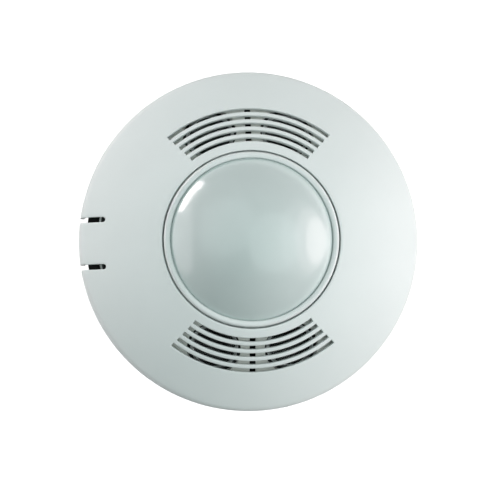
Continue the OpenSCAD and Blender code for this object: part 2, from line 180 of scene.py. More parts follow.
def add(tree, kind, settings=None, **inputs):
    """A node with its settings and inputs, each a value or another node's socket."""
    made = tree.nodes.new(kind)
    for key, value in (settings or {}).items():
        setattr(made, key, value)
    for key, value in inputs.items():
        feed(tree, made.inputs[key.replace("_", " ")], value)
    return made


def calc(tree, operation, *values):
    """The result of a math node on these numbers or sockets."""
    made = add(tree, "ShaderNodeMath", {"operation": operation})
    for value, socket in zip(values, made.inputs):
        feed(tree, socket, value)
    return made.outputs[0]


def noise(tree, size_mm, detail=2.0, stretch=(1, 1, 1)):
    """Noise with grains about size_mm wide, fixed to the object; stretch lengthens them."""
    where = add(tree, "ShaderNodeTexCoord").outputs["Object"]
    scaled = add(tree, "ShaderNodeMapping", Vector=where, Scale=[1 / s for s in stretch])
    return add(tree, "ShaderNodeTexNoise", Vector=scaled.outputs[0], Scale=1 / (size_mm * MM),
               Detail=detail, Roughness=0.55).outputs["Fac"]


def roughen(tree, shader, value, low, high):
    """Roughness from low to high along value."""
    made = add(tree, "ShaderNodeMapRange", Value=value, From_Min=NOISE_LOW, From_Max=NOISE_HIGH,
               To_Min=low, To_Max=high)
    tree.links.new(made.outputs[0], shader.inputs["Roughness"])


def tint(tree, shader, value, dark, light):
    """Base colour from dark to light along value."""
    made = add(tree, "ShaderNodeValToRGB", Fac=value)
    for stop, at, color in zip(made.color_ramp.elements, (NOISE_LOW, NOISE_HIGH), (dark, light)):
        stop.position, stop.color = at, (*color, 1)
    tree.links.new(made.outputs["Color"], shader.inputs["Base Color"])


def bump(tree, shader, height, strength, depth_mm, under=None):
    made = add(tree, "ShaderNodeBump", Height=height, Strength=strength, Distance=depth_mm * MM)
    if under:
        tree.links.new(under, made.inputs["Normal"])
    tree.links.new(made.outputs["Normal"], shader.inputs["Normal"])
    return made.outputs["Normal"]


def shade(color, factor):
    return tuple(min(c * factor, 1.0) for c in color)


def plastic(name, color, roughness, grain, depth, drift, flow):
    """Moulded plastic: a grain with its depth, and a drift of colour with its flow, all in mm."""
    finish, tree, shader = start_finish(name, color, roughness)
    slow = noise(tree, flow, 3)
    tint(tree, shader, slow, shade(color, 1 - drift), shade(color, 1 + drift))
    roughen(tree, shader, noise(tree, flow / 3, 4), roughness - 0.06, roughness + 0.06)
    broad = bump(tree, shader, noise(tree, 6 * grain, 2), 0.15, depth)
    bump(tree, shader, noise(tree, grain, 3), 0.5, depth, broad)
    return finish


def metal(name, color, roughness=0.3, stretch=(1, 1, 1), drift=0.08, size=0.4, depth=0.008):
    """Bare metal with the fine lines of drawing or brushing along stretch, and duller patches. The
    lines' size and depth are in mm."""
    finish, tree, shader = start_finish(name, color, roughness, metallic=1.0)
    lines = noise(tree, size, 4, stretch)
    tint(tree, shader, noise(tree, 3.0, 4), shade(color, 1 - drift), shade(color, 1 + drift))
    roughen(tree, shader, lines, roughness - 0.08, roughness + 0.12)
    bump(tree, shader, lines, 0.4, depth)
    return finish


def rubber(name, color, dust=0.7):
    """Moulded rubber: matt, slightly dusty in patches."""
    finish, tree, shader = start_finish(name, color, 0.75, specular=0.3)
    shader.inputs["Sheen Weight"].default_value = 0.15
    tint(tree, shader, noise(tree, 2.5, 5), color, shade(color, 1 + dust))
    roughen(tree, shader, noise(tree, 1.2, 3), 0.65, 0.85)
    bump(tree, shader, noise(tree, 0.25, 3), 0.6, 0.03)
    return finish


def resin(name, color, pass_through, roughness=0.12):
    """Clear or tinted cast resin with a faint flow in it."""
    finish, tree, shader = start_finish(name, color, roughness)
    shader.inputs["Transmission Weight"].default_value = pass_through
    shader.inputs["IOR"].default_value = 1.52
    shader.inputs["Coat Weight"].default_value = 0.3
    tint(tree, shader, noise(tree, 1.6, 2), shade(color, 0.9), shade(color, 1.08))
    roughen(tree, shader, noise(tree, 0.8, 3), roughness - 0.04, roughness + 0.06)
    bump(tree, shader, noise(tree, 1.0, 2), 0.15, 0.02)
    return finish


def board_mask(name, color, weave=0.55):
    """Solder mask over glass cloth: the weave shows through as a faint grid."""
    finish, tree, shader = start_finish(name, color, 0.32)
    shader.inputs["Coat Weight"].default_value = 0.25
    shader.inputs["Coat Roughness"].default_value = 0.15
    where = add(tree, "ShaderNodeTexCoord").outputs["Object"]
    threads = [
        add(tree, "ShaderNodeTexWave", {"bands_direction": axis}, Vector=where,
            Scale=0.314 / (weave * MM), Distortion=0.6, Detail=2.0, Detail_Scale=2.0).outputs["Fac"]
        for axis in ("X", "Y")
    ]
    cloth = calc(tree, "MAXIMUM", *threads)
    mixed = calc(tree, "MULTIPLY_ADD", cloth, 0.35, noise(tree, 5.0, 3))
    tint(tree, shader, mixed, shade(color, 0.8), shade(color, 1.35))
    roughen(tree, shader, noise(tree, 4.0, 3), 0.26, 0.42)
    bump(tree, shader, cloth, 0.25, 0.01)
    return finish


def lens_plastic(name, color):
    """Milky polyethylene: light sinks in a little, and the half glossy skin has a faint ripple."""
    finish, tree, shader = start_finish(name, color, 0.15)
    shader.inputs["Subsurface Weight"].default_value = 0.12
    shader.inputs["Subsurface Radius"].default_value = (0.8, 0.9, 0.85)
    shader.inputs["Subsurface Scale"].default_value = 1.2 * MM
    shader.inputs["IOR"].default_value = 1.51
    tint(tree, shader, noise(tree, 18.0, 3), shade(color, 0.985), shade(color, 1.015))
    roughen(tree, shader, noise(tree, 3.0, 3), 0.12, 0.18)
    bump(tree, shader, noise(tree, 2.2, 2), 0.12, 0.03)
    return finish


WHITE = (0.84, 0.875, 0.865)
FINISHES = {
    "white_plastic": plastic("cover plastic", WHITE, 0.52, 0.3, 0.03, 0.012, 20.0),
    "ring_plastic": plastic("ring plastic", WHITE, 0.42, 0.25, 0.015, 0.01, 9.0),
    "black_plastic": plastic("base plastic", (0.012, 0.012, 0.013), 0.5, 0.4, 0.03, 0.12, 12.0),
    "seal_rubber": rubber("seal rubber", (0.60, 0.62, 0.61), 0.04),
    "lens_plastic": lens_plastic("lens plastic", (0.655, 0.735, 0.72)),
    "cream_plastic": plastic("carrier plastic", (0.80, 0.80, 0.76), 0.5, 0.35, 0.025, 0.02, 8.0),
    "green_board": board_mask("board", (0.022, 0.16, 0.07)),
    "plated_steel": metal("plated steel", (0.72, 0.72, 0.70), 0.26, (1, 1, 1), 0.06, 0.5),
    "solder": metal("solder", (0.70, 0.71, 0.72), 0.3, (1, 1, 1), 0.1, 0.6, 0.02),
    "aluminium_can": metal("drawn aluminium", (0.78, 0.785, 0.79), 0.3, (1, 1, 14), 0.04, 0.25),
    "aluminium_cone": metal("spun aluminium", (0.66, 0.665, 0.67), 0.36, (6, 6, 1), 0.08, 0.3),
    "screen_wire": metal("screen wire", (0.045, 0.045, 0.048), 0.45, (1, 1, 1), 0.12, 0.3, 0.004),
    "black_rubber": rubber("boot rubber", (0.022, 0.022, 0.024)),
    "infrared_filter": resin("infrared filter", (0.035, 0.024, 0.02), 0.2, 0.08),
    "red_led_plastic": resin("red resin", (0.62, 0.02, 0.015), 0.45),
    "green_led_plastic": resin("green resin", (0.03, 0.42, 0.06), 0.45),
    "clear_resin": resin("clear resin", (0.78, 0.80, 0.70), 0.6),
    "red_plastic": plastic("switch plastic", (0.42, 0.02, 0.016), 0.42, 0.3, 0.02, 0.06, 5.0),
    "slider_plastic": plastic("slider plastic", (0.84, 0.84, 0.80), 0.38, 0.2, 0.012, 0.02, 1.5),
    "blue_plastic": plastic("trimmer plastic", (0.014, 0.07, 0.30), 0.4, 0.3, 0.02, 0.08, 4.0),
    "rotor_plastic": plastic("rotor plastic", (0.80, 0.79, 0.72), 0.4, 0.2, 0.012, 0.03, 2.0),
    "green_plastic": plastic("terminal plastic", (0.02, 0.22, 0.06), 0.42, 0.35, 0.025, 0.06, 5.0),
    "relay_plastic": plastic("relay plastic", (0.80, 0.80, 0.78), 0.36, 0.3, 0.015, 0.02, 6.0),
    "capacitor_sleeve": plastic(
        "capacitor sleeve", (0.012, 0.02, 0.055), 0.28, 0.9, 0.03, 0.1, 3.0),
    "black_epoxy": plastic("chip epoxy", (0.018, 0.018, 0.02), 0.58, 0.18, 0.02, 0.15, 2.0),
    "chip_ceramic": plastic("chip ceramic", (0.10, 0.075, 0.05), 0.5, 0.15, 0.015, 0.12, 1.0),
    "wire_insulation": plastic("lead insulation", (0.56, 0.53, 0.47), 0.4, 0.25, 0.015, 0.05, 3.0),
    "track": plastic("mask over copper", (0.04, 0.24, 0.10), 0.3, 0.3, 0.01, 0.08, 3.0),
    "ink": plastic("sleeve band", (0.50, 0.52, 0.52), 0.35, 0.3, 0.01, 0.04, 2.0),
}

# ---------- the cover's sheet ----------


NECK_ROWS = 13  # rows of the shelf, the neck and the brim, before the dome's own


def cover_rows():
    """Rows of the cover's sheet from the shelf out to the rim, each [outer radius, outer height,
    inner radius, inner height, normal outwards, normal up]. A height of nan lies on the dome."""
    flat = math.nan
    rows = [[r, SHELF_TOP, r, SHELF_LOW, 0, 1]
            for r in (SHELF_IN_R, WINDOW_IN_R, 28.2, WINDOW_OUT_R)]
    rows.append([SEAT_R, SHELF_TOP, NECK_R, SHELF_LOW, 0, 1])
    brim = float(dome_z(SEAT_R + BRIM_ROUND)) - BRIM_ROUND
    neck_top = float(dome_z(NECK_R, WALL))
    for share in (0.3, 0.65, 1.0):
        rows.append([SEAT_R, SHELF_TOP + share * (brim - SHELF_TOP),
                     NECK_R, SHELF_LOW + share * (neck_top - SHELF_LOW), -1, 0])
    for step in (1, 2, 3, 4):
        turn = math.radians(22.5 * step)
        rows.append([SEAT_R + BRIM_ROUND * (1 - math.cos(turn)), brim + BRIM_ROUND * math.sin(turn),
                     NECK_R, neck_top, -math.cos(turn), math.sin(turn)])
    rows.append([30.7, flat, NECK_R, neck_top, 0, 1])
    dome = [31.5, 31.95, PAD_IN_R, 32.35]
    lean = {}
    for i in range(SLOTS):
        middle = SLOT_R0 + i * SLOT_PITCH
        dome += [middle - SLOT_IN - s for s in reversed(EDGE_STATIONS)]
        for s in EDGE_STATIONS:
            lean[middle + SLOT_OUT + s] = SLOT_LEAN * (1 - s / EDGE_STATIONS[-1])
        dome += [middle + SLOT_OUT + s for s in EDGE_STATIONS]
        dome.append(middle + SLOT_PITCH / 2 + 0.05)
    dome += [45.3, PAD_OUT_R, 46.1, 46.9, 47.6, 48.1, 48.21, 48.27, 48.3, 48.33, 48.42, 48.6,
             48.85, 49.19, 49.8, 50.6, 51.5, 52.4, 53.3, 54.2, 55.0, DOME_END_R]
    for r in dome:
        pull = 1 - max(r - DRAW_IN_R, 0) / (DOME_END_R - DRAW_IN_R) * WALL / DOME_R
        out = r / DOME_R
        rows.append([r, flat, r * pull - lean.get(r, 0), flat, out, math.sqrt(1 - out**2)])
    start = math.asin(DOME_END_R / DOME_R)
    for step in range(1, 9):
        turn = start + (math.pi / 2 - start) * step / 8
        out, up = math.sin(turn), math.cos(turn)
        inner = SHOULDER_R - WALL
        rows.append([SHOULDER_X + SHOULDER_R * out, SHOULDER_Z + SHOULDER_R * up,
                     SHOULDER_X + inner * out, SHOULDER_Z + inner * up, out, up])
    low = RIM_LOW + RIM_ROUND
    for z in (*SIDE_ROWS_Z, low):
        rows.append([COVER_R, z, COVER_R - WALL, z, 1, 0])
    for turn in (0.5, 1.0, math.pi / 2):
        z = low - RIM_ROUND * math.sin(turn)
        rows.append([COVER_R - RIM_ROUND * (1 - math.cos(turn)), z, COVER_R - WALL, z, 1, 0])
    return np.array(rows)


def cover_columns():
    """Angles of the sheet's columns: even steps, and closer ones beside every cut."""
    fixed = []
    for grille in GRILLES:
        for i in range(SLOTS):
            half = SLOT_HALF + i * SLOT_STEP
            fixed += [grille + s * (half + out) for s in (-1, 1) for out in END_STATIONS]
        fixed += [grille + s * (PAD_HALF + out) for s in (-1, 1) for out in (0, 0.2)]
    for claw in CLAWS:
        fixed += [claw + s * WINDOW_HALF for s in (-1, 1)]
    for at, half in RIDGES:
        fixed += [at + s * (half - out) for s in (-1, 1) for out in (0, RIDGE_SLOPE)]
    beside = [TAB_Y + way * (TAB_GAP + s) for way in (-1, 1) for s in EDGE_STATIONS]
    fixed += [180 + s * math.degrees(math.asin(y / COVER_R)) for s in (-1, 1) for y in beside]
    fixed = np.unique(np.round(np.mod(fixed, 360), 4))
    even = np.arange(0, 360, COLUMN_STEP)
    gap = np.abs(apart(even[:, None], fixed[None, :])).min(1)
    across = np.abs(COVER_R * np.sin(np.radians(even)))
    in_slot = (np.abs(across - TAB_Y) < TAB_GAP) & (even > 90) & (even < 270)
    return np.sort(np.concatenate([fixed, even[(gap > COLUMN_GAP) & ~in_slot]]))


def across_tab(degrees):
    """The turn from the tab's middle, and the distance along Y from it."""
    off = apart(degrees, 180)
    return off, np.where(np.abs(off) < TAB_SIDE, COVER_R * np.sin(np.radians(off)), FAR)


def slot_half_width(r):
    """Half width of the tab's slots at this radius: round at the root, and open again inside it."""
    tip = np.clip((TAB_ROOT + TAB_GAP - r) / TAB_GAP, 0, 1)
    cut = TAB_GAP * np.sqrt(1 - tip**2)
    return np.where(r >= TAB_ROOT, cut, TAB_GAP * smooth((TAB_ROOT - r) / ROOT_FADE))


def lay_sheet(rows, columns):
    """Outer and inner points of the sheet. Near the tab the columns run straight, side by side."""
    off, across = across_tab(columns[None, :])
    near = 1 - ramp(np.abs(across), *STRAIGHT_Y)
    r_row = rows[:, 0][:, None]
    straight = ramp(r_row, *STRAIGHT_IN_R) * (1 - ramp(r_row, *STRAIGHT_OUT_R)) * near
    shift = TAB_GAP - slot_half_width(r_row)
    inside = TAB_Y - TAB_GAP - np.abs(across)
    outside = np.abs(across) - TAB_Y - TAB_GAP
    pull = np.where(inside >= -0.01, 1 - ramp(inside, *SLOT_PULL), ramp(outside, *SLOT_PULL) - 1)
    beside = across + np.sign(across) * shift * pull
    layers = []
    for r in (r_row, rows[:, 2][:, None]):
        reach = r + straight * (np.sqrt(r**2 + beside**2) - r)
        bent = np.degrees(np.arcsin(np.clip(beside / np.maximum(reach, BEND_MIN_R), -1, 1)))
        angle = np.radians(180 + off + near * (bent - off))
        layers.append((reach, angle))
    (r_out, a_out), (r_in, a_in) = layers
    grid = r_out.shape
    z_out = np.where(np.isnan(rows[:, 1])[:, None], dome_z(r_out), rows[:, 1][:, None])
    degrees = columns[None, :]
    in_pad = np.zeros(grid, bool)
    drop = np.zeros(grid)
    for grille in GRILLES:
        turn = np.abs(apart(degrees, grille))
        in_pad |= (turn <= PAD_HALF + 0.01) & (r_row >= PAD_IN_R) & (r_row <= PAD_OUT_R)
        for i in range(SLOTS):
            past_end = np.clip(turn - SLOT_HALF - i * SLOT_STEP, 0, 90) * np.pi / 180 * r_row
            from_middle = r_row - SLOT_R0 - i * SLOT_PITCH
            past_side = np.clip(np.maximum(-SLOT_IN - from_middle, from_middle - SLOT_OUT), 0, FAR)
            drop = np.maximum(drop, edge_drop(np.hypot(past_end, past_side)))
    on_dome = np.isnan(rows[:, 3])[:, None]
    z_in = np.where(on_dome, dome_z(r_in, np.where(in_pad, PAD_DEPTH, WALL)), rows[:, 3][:, None])
    z_out = z_out - np.where(np.isnan(rows[:, 1])[:, None], drop, 0)
    for at, half in RIDGES:
        on_ridge = np.abs(apart(degrees, at)) <= half - RIDGE_SLOPE + 0.01
        ridge_row = np.isin(np.round(rows[:, 1], 3), RIDGE_ROWS)[:, None]
        r_in = np.where(on_ridge & ridge_row, RIDGE_R, r_in)
    x, y = r_out * np.cos(a_out), r_out * np.sin(a_out)
    beyond = np.clip(-x - TAB_ROOT - TAB_GAP, None, 0)
    to_cut = np.clip(np.hypot(beyond, np.abs(y) - TAB_Y) - TAB_GAP, 0, None)
    fall = np.where((r_row > TAB_ROOT - 0.3) & (x < 0), edge_drop(to_cut), 0)
    r_out = r_out - fall * rows[:, 4][:, None]
    z_out = z_out - fall * rows[:, 5][:, None]
    outer = np.stack([r_out * np.cos(a_out), r_out * np.sin(a_out), z_out], -1)
    inner = np.stack([r_in * np.cos(a_in), r_in * np.sin(a_in), z_in + 0 * r_in], -1)
    return outer, inner


def sheet_cells(rows, columns):
    """Which cells of the sheet belong to the cover, and which to the release tab."""
    r_mid = (rows[:-1, 0] + rows[1:, 0])[:, None] / 2
    on_shelf = (rows[1:, 1] == SHELF_TOP)[:, None]
    outside_neck = (np.arange(len(rows) - 1) >= NECK_ROWS)[:, None]
    following = np.append(columns[1:], columns[0] + 360)
    middle = ((columns + following) / 2)[None, :]
    cut = np.zeros((len(rows) - 1, len(columns)), bool)
    for grille in GRILLES:
        turn = np.abs(apart(middle, grille))
        for i in range(SLOTS):
            between = np.abs(r_mid - SLOT_R0 - i * SLOT_PITCH) < SLOT_IN
            cut |= between & outside_neck & (turn < SLOT_HALF + i * SLOT_STEP)
    for claw in CLAWS:
        in_window = (r_mid > WINDOW_IN_R) & (r_mid < WINDOW_OUT_R)
        cut |= on_shelf & in_window & (np.abs(apart(middle, claw)) < WINDOW_HALF)
    across = np.abs(across_tab(middle)[1])
    root_row = int(np.argmin(np.abs(rows[:, 0] - TAB_ROOT)))
    past_root = (np.arange(len(rows) - 1) >= root_row)[:, None]
    tab = past_root & (across < TAB_Y - TAB_GAP)
    slot = past_root & (np.abs(across - TAB_Y) < TAB_GAP)
    return ~cut & ~tab & ~slot, tab


def sheet_piece(name, outer, inner, keep):
    """A closed shell from the kept cells: both faces, and a wall beside every open side."""
    count_i, count_j = outer.shape[:2]
    half = count_i * count_j
    faces = []

    def spot(i, j):
        return i * count_j + j % count_j

    def kept(i, j):
        return 0 <= i < count_i - 1 and keep[i, j % count_j]

    for i, j in zip(*np.nonzero(keep)):
        i, j = int(i), int(j)
        a, b, c, d = spot(i, j), spot(i + 1, j), spot(i + 1, j + 1), spot(i, j + 1)
        faces += [(a, b, c, d), (half + d, half + c, half + b, half + a)]
        sides = (((i, j - 1), a, b), ((i + 1, j), b, c), ((i, j + 1), c, d), ((i - 1, j), d, a))
        faces += [(q, p, half + p, half + q) for beside, p, q in sides if not kept(*beside)]
    points = np.concatenate([outer.reshape(-1, 3), inner.reshape(-1, 3)])
    mesh = plain_mesh(name, points.tolist(), faces)
    shell = bmesh.new()
    shell.from_mesh(mesh)
    bmesh.ops.delete(shell, geom=[v for v in shell.verts if not v.link_faces], context="VERTS")
    bmesh.ops.remove_doubles(shell, verts=shell.verts, dist=2 * MERGE)
    shell.to_mesh(mesh)
    shell.free()
    mesh.validate()
    mesh.shade_smooth()
    mesh.set_sharp_from_angle(angle=math.radians(42))
    return link(name, mesh)


def make_cover():
    """The cover's shell and the tab's strip, cut from one sheet."""
    rows, columns = cover_rows(), cover_columns()
    outer, inner = lay_sheet(rows, columns)
    cover_cells, tab_cells = sheet_cells(rows, columns)
    shell = sheet_piece("cover_shell", outer, inner, cover_cells)
    strip = sheet_piece("tab_strip", outer, inner, tab_cells)
    for piece in (shell, strip):
        piece.data.materials.append(FINISHES["white_plastic"])
    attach(shell, "cover")
    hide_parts("front_cover")
    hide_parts("release_tab")
    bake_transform(strip)


# ---------- Geometry Nodes for what turns, runs along a path or repeats ----------


def geometry_tree(name, inputs):
    """An empty tree with a Geometry input, the named inputs, and a Geometry output."""
    tree = bpy.data.node_groups.new(name, "GeometryNodeTree")
    for way in ("INPUT", "OUTPUT"):
        tree.interface.new_socket("Geometry", in_out=way, socket_type="NodeSocketGeometry")
    for label, kind in inputs:
        tree.interface.new_socket(label, in_out="INPUT", socket_type="NodeSocket" + kind)
    return tree, tree.nodes.new("NodeGroupInput").outputs


def end_tree(tree, made, finish):
    """Realize Instances and Set Material close every tree."""
    real = add(tree, "GeometryNodeRealizeInstances", Geometry=made)
    painted = add(tree, "GeometryNodeSetMaterial", Geometry=real.outputs[0], Material=finish)
    tree.links.new(painted.outputs[0], tree.nodes.new("NodeGroupOutput").inputs["Geometry"])
    return tree


def turned_tree():
    """Turns a half section about Z. The section lies in XY, X measured from Radius."""
    tree, given = geometry_tree("turned part", [
        ("Radius", "Float"), ("Sides", "Int"), ("Finish", "Material")])
    section = add(tree, "GeometryNodeMeshToCurve", Mesh=given["Geometry"])
    path = add(tree, "GeometryNodeCurvePrimitiveCircle", Radius=given["Radius"],
               Resolution=given["Sides"])
    swept = add(tree, "GeometryNodeCurveToMesh", Curve=path.outputs[0],
                Profile_Curve=section.outputs[0])
    closed = add(tree, "GeometryNodeMergeByDistance", Geometry=swept.outputs[0], Distance=MERGE)
    return end_tree(tree, closed.outputs[0], given["Finish"])


def path_tree():
    """Runs a strip with an oval section, Width by Height, along every path of edges."""
    tree, given = geometry_tree("strip along paths", [
        ("Width", "Float"), ("Height", "Float"), ("Sides", "Int"), ("Finish", "Material")])
    path = add(tree, "GeometryNodeMeshToCurve", Mesh=given["Geometry"])
    round_form = add(tree, "GeometryNodeCurvePrimitiveCircle", Radius=0.5,
                     Resolution=given["Sides"])
    size = add(tree, "ShaderNodeCombineXYZ", X=given["Width"], Y=given["Height"], Z=1.0)
    form = add(tree, "GeometryNodeTransform", Geometry=round_form.outputs[0],
               Scale=size.outputs[0])
    swept = add(tree, "GeometryNodeCurveToMesh", Curve=path.outputs[0],
                Profile_Curve=form.outputs[0], Fill_Caps=True)
    return end_tree(tree, swept.outputs[0], given["Finish"])


def repeat_tree():
    """Sets the Shape object out on every point, with the point's own turn and size."""
    tree, given = geometry_tree("repeated shape", [("Shape", "Object"), ("Finish", "Material")])
    shape = add(tree, "GeometryNodeObjectInfo", Object=given["Shape"])
    turn = add(tree, "GeometryNodeInputNamedAttribute", {"data_type": "FLOAT_VECTOR"}, Name="turn")
    size = add(tree, "GeometryNodeInputNamedAttribute", {"data_type": "FLOAT_VECTOR"}, Name="size")
    spin = add(tree, "FunctionNodeEulerToRotation", Euler=turn.outputs[0])
    placed = add(tree, "GeometryNodeInstanceOnPoints", Points=given["Geometry"],
                 Instance=shape.outputs["Geometry"], Rotation=spin.outputs[0],
                 Scale=size.outputs[0])
    return end_tree(tree, placed.outputs[0], given["Finish"])


def screen_tree():
    """A round woven screen in XY: two sets of wires, cut to the circle by their own length."""
    tree, given = geometry_tree("woven screen", [
        ("Radius", "Float"), ("Pitch", "Float"), ("Wire", "Float"), ("Finish", "Material")])
    span = calc(tree, "DIVIDE", given["Radius"], given["Pitch"])
    count = calc(tree, "MULTIPLY_ADD", span, 2.0, -1.0)
    first = calc(tree, "MULTIPLY_ADD", span, -1.0, 1.0)
    start = add(tree, "ShaderNodeCombineXYZ", Y=calc(tree, "MULTIPLY", first, given["Pitch"]))
    step = add(tree, "ShaderNodeCombineXYZ", Y=given["Pitch"])
    line = add(tree, "GeometryNodeMeshLine", Count=count, Start_Location=start.outputs[0],
               Offset=step.outputs[0])
    position = add(tree, "GeometryNodeInputPosition").outputs[0]
    along = add(tree, "ShaderNodeSeparateXYZ", Vector=position).outputs["Y"]
    squares = [calc(tree, "MULTIPLY", value, value) for value in (given["Radius"], along)]
    reach = calc(tree, "SQRT", calc(tree, "SUBTRACT", *squares))
    wire = add(tree, "GeometryNodeCurvePrimitiveLine", Start=(-1, 0, 0), End=(1, 0, 0))
    scale = add(tree, "ShaderNodeCombineXYZ", X=reach, Y=1.0, Z=1.0)
    wires = add(tree, "GeometryNodeInstanceOnPoints", Points=line.outputs[0],
                Instance=wire.outputs[0], Scale=scale.outputs[0])
    one_way = add(tree, "GeometryNodeRealizeInstances", Geometry=wires.outputs[0])
    lift = add(tree, "ShaderNodeCombineXYZ", Z=given["Wire"])
    other = add(tree, "GeometryNodeTransform", Geometry=one_way.outputs[0],
                Translation=lift.outputs[0], Rotation=(0, 0, math.pi / 2))
    both = add(tree, "GeometryNodeJoinGeometry")
    for half in (one_way, other):
        tree.links.new(half.outputs[0], both.inputs[0])
    form = add(tree, "GeometryNodeCurvePrimitiveCircle", Radius=given["Wire"], Resolution=6)
    woven = add(tree, "GeometryNodeCurveToMesh", Curve=both.outputs[0],
                Profile_Curve=form.outputs[0], Fill_Caps=True)
    return end_tree(tree, woven.outputs[0], given["Finish"])


def evaluated(piece):
    """A new mesh from the piece with its modifiers applied."""
    graph = bpy.context.evaluated_depsgraph_get()
    return bpy.data.meshes.new_from_object(piece.evaluated_get(graph), depsgraph=graph)


def grow(name, seed, tree, **values):
    """Runs a tree on a seed mesh and returns the result as a plain object at the origin."""
    host = link(name + "_seed", seed)
    worker = host.modifiers.new("grow", "NODES")
    worker.node_group = tree
    for item in tree.interface.items_tree:
        if item.item_type == "SOCKET" and item.in_out == "INPUT" and item.name in values:
            worker[item.identifier] = values[item.name]
    mesh = evaluated(host)
    mesh.name = name
    host.modifiers.remove(worker)
    bpy.data.objects.remove(host)
    return link(name, mesh)


def face_out(mesh):
    """Merges doubles and turns the faces of closed bodies outwards."""
    work = bmesh.new()
    work.from_mesh(mesh)
    bmesh.ops.remove_doubles(work, verts=work.verts, dist=MERGE)
    bmesh.ops.recalc_face_normals(work, faces=work.faces)
    work.to_mesh(mesh)
    work.free()


def turned(name, section, closed, radius, finish, sides=160, sharp=35):
    """A turned piece from its half section, a list of (radius, height)."""
    count = len(section)
    edges = [(i, i + 1) for i in range(count - 1)] + ([(count - 1, 0)] if closed else [])
    seed = plain_mesh(name, [(r - radius, -z, 0) for r, z in section], edges=edges)
    piece = grow(name, seed, TURNED, Radius=radius * MM, Sides=sides, Finish=FINISHES[finish])
    face_out(piece.data)
    piece.data.shade_smooth()
    piece.data.set_sharp_from_angle(angle=math.radians(sharp))
    return piece


def points_mesh(name, spots):
    """Points with a turn and a size each, from (x, y, z, turn about Z in degrees, size)."""
    mesh = plain_mesh(name, [s[:3] for s in spots])
    turns, sizes = [(0, 0, math.radians(s[3])) for s in spots], [s[4] for s in spots]
    for label, values in (("turn", turns), ("size", sizes)):
        layer = mesh.attributes.new(label, "FLOAT_VECTOR", "POINT")
        layer.data.foreach_set("vector", np.array(values, np.float32).ravel())
    return mesh


TURNED, PATHS, REPEATS, SCREEN = turned_tree(), path_tree(), repeat_tree(), screen_tree()

# ---------- lens and ring ----------


def arc(centre_z, radius, r_from, r_to, count):
    """Points of a sphere's half section between two radii."""
    turns = np.linspace(math.asin(r_from / radius), math.asin(r_to / radius), count)
    return [(radius * math.sin(t), centre_z + radius * math.cos(t)) for t in turns]


def lens_section():
    """From the top of the lens down its outside, round the flange and up the inside, which is cut
    into rings of shallow steps."""
    steep = (LENS_C + LENS_R - LENS_FOOT_Z) / LENS_FOOT_R**2
    outside = [(r, (1 - LENS_OPEN) * z + LENS_OPEN * (LENS_C + LENS_R - steep * r**2))
               for r, z in arc(LENS_C, LENS_R, 0, LENS_FOOT_R - 0.05, 40)]
    inner_r = LENS_R - LENS_WALL
    inner_foot = math.sqrt(inner_r**2 - (LENS_FOOT_Z - LENS_C) ** 2)
    flange_top = SHELF_TOP + LENS_FLANGE_T
    skirt_r = RING_IN_R - 0.05
    walls = [(LENS_FOOT_R, LENS_FOOT_Z - 0.12), (LENS_FOOT_R + 0.03, LENS_FOOT_Z - 0.6),
             (skirt_r, LENS_FOOT_Z - 0.66), (skirt_r, LENS_FOOT_Z - 1.2),
             (LENS_FOOT_R, LENS_FOOT_Z - 1.4), (LENS_FOOT_R, flange_top + 0.5),
             (LENS_FOOT_R + 0.05, flange_top), (LENS_FLANGE_R - 0.1, flange_top),
             (LENS_FLANGE_R, flange_top - 0.1), (LENS_FLANGE_R, SHELF_TOP + 0.1),
             (LENS_FLANGE_R - 0.1, SHELF_TOP), (inner_foot, SHELF_TOP),
             (inner_foot, LENS_FOOT_Z - 0.6)]
    inside = []
    for r in np.arange(LENS_STEP_START, 0.9, -LENS_STEP_PITCH):
        turn = math.asin(r / inner_r)
        for reach, step in ((inner_r, 0.05), (inner_r + LENS_STEP_DEPTH, -0.05)):
            inside.append((reach * math.sin(turn) + step, LENS_C + reach * math.cos(turn)))
    return outside + walls + inside + [(0, LENS_C + inner_r)]


def ring_section():
    """Up the ring's inside, over its crown and down its outside, which is rounded more."""
    low, edge = SHELF_TOP + LENS_FLANGE_T, RING_EDGE_Z
    middle, centre_z = (RING_IN_R + RING_R) / 2, edge + RING_CROWN - RING_CROWN_R
    crown = [(middle + RING_CROWN_R * math.sin(t), centre_z + RING_CROWN_R * math.cos(t))
             for t in np.linspace(-0.42, 0.3, 8)]
    left = [(RING_IN_R + inset, edge + rise)
            for inset, rise in ((0, -0.25), (0.06, -0.08), (0.16, 0.06))]
    right = [(RING_R - inset, edge + rise)
             for inset, rise in ((0.34, 0.32), (0.2, 0.12), (0.08, -0.14), (0, -0.45))]
    return [(RING_IN_R, low + 0.08), (RING_IN_R, RING_WAIST_Z), *left, *crown, *right,
            (RING_R, RING_WAIST_Z), (RING_R, low + 0.08), (RING_R - 0.08, low),
            (RING_IN_R + 0.08, low)]


def cut_windows(piece, cutter_name, blocks):
    """Cuts arc-shaped windows, each (inner radius, outer radius, low, high, middle, span)."""
    cutter = arc_blocks(cutter_name, blocks)
    cut = piece.modifiers.new("windows", "BOOLEAN")
    cut.operation, cut.solver, cut.object = "DIFFERENCE", "EXACT", cutter
    mesh = evaluated(piece)
    piece.modifiers.remove(cut)
    piece.data = mesh
    bpy.data.objects.remove(cutter)


